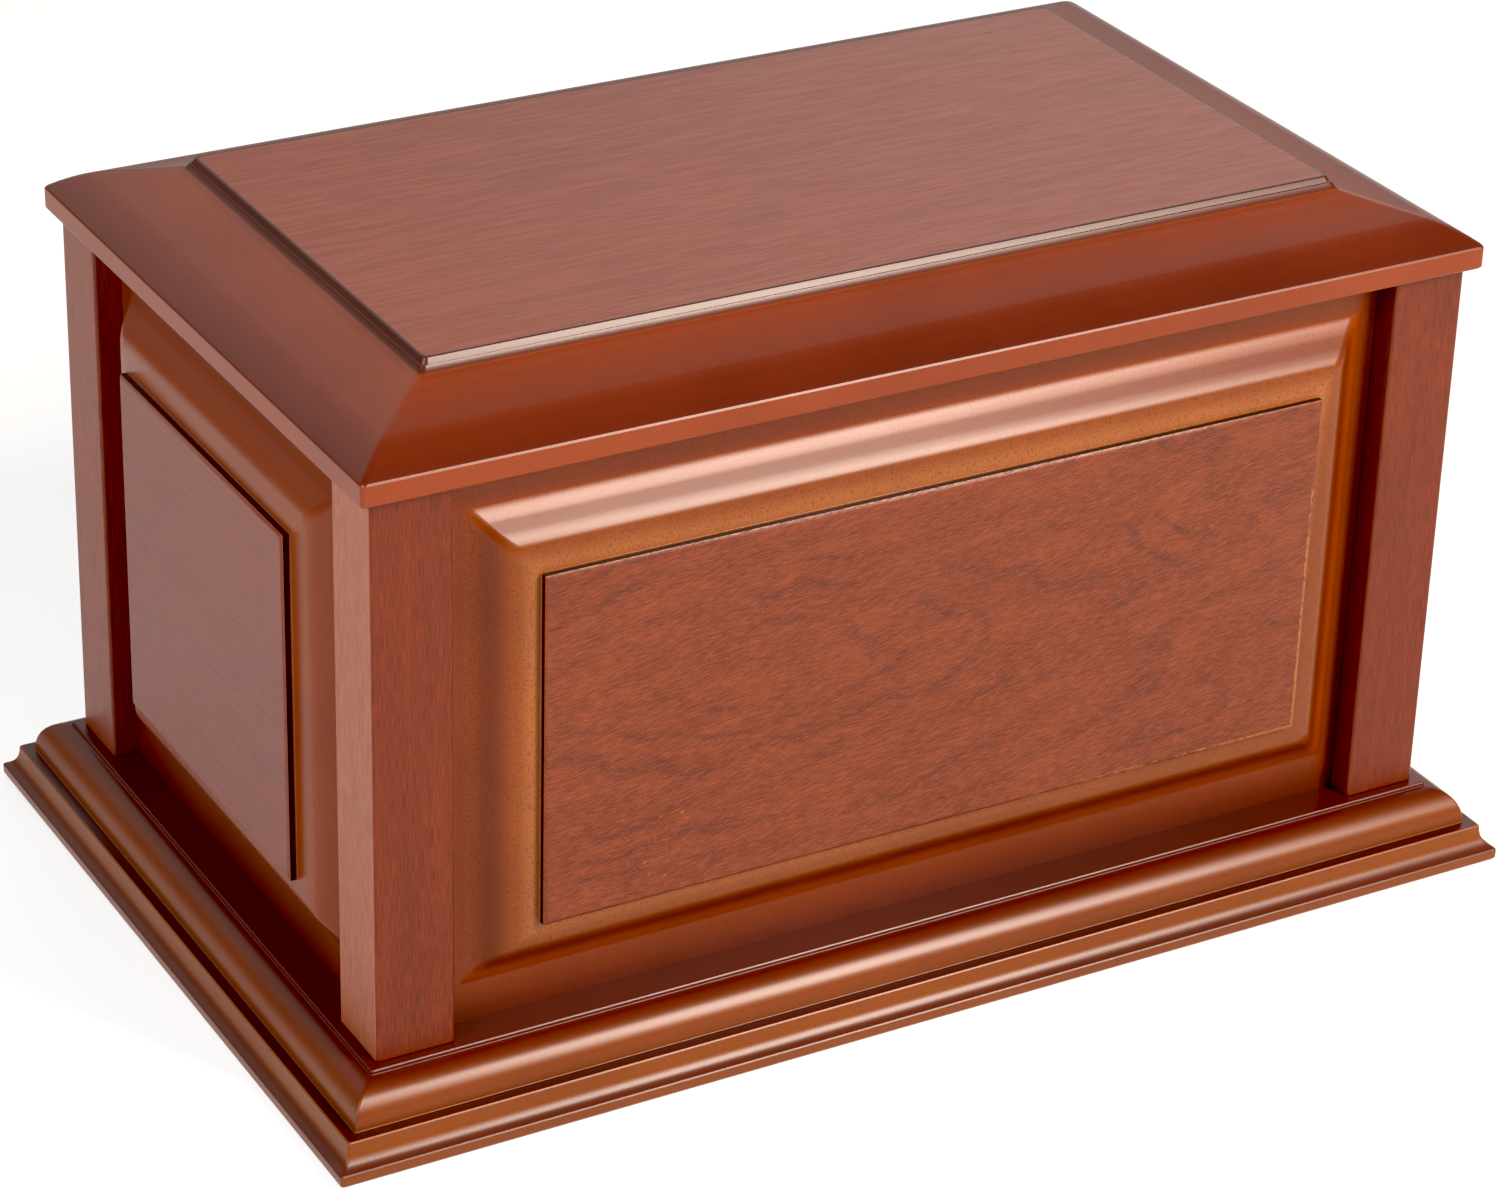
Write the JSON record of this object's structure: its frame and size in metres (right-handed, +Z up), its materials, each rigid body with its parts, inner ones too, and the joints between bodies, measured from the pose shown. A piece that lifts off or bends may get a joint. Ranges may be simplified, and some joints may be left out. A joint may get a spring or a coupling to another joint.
{
  "type": "wooden cremation urn",
  "caption": "Oblong box urn of stained wood: moulded base board, square corner posts, raised panels and a moulded lid that lifts off an empty inside.",
  "frame": {"origin": "middle of the base board's underside, on the surface it stands on", "axes": "+X along the long side to the right as seen from the front, +Y from the front to the back, +Z up"},
  "size_m": [0.28, 0.182, 0.1562],
  "materials": {
    "base_board": "cherry stain under satin lacquer, moulded edge",
    "post_veneer": "cherry veneer with upright grain, satin lacquer",
    "raised_panel": "cherry veneer field with level grain, golden brown stained moulding, satin lacquer",
    "lid_board": "cherry veneer field with grain along the length, stained moulded edge, satin lacquer"
  },
  "bodies": {
    "root": {"base": "base_board", "post_front_left": "post_veneer", "post_front_right": "post_veneer", "post_back_left": "post_veneer", "post_back_right": "post_veneer", "panel_front": "raised_panel", "panel_back": "raised_panel", "panel_left": "raised_panel", "panel_right": "raised_panel", "lid": "lid_board"}
  },
  "joints": []
}
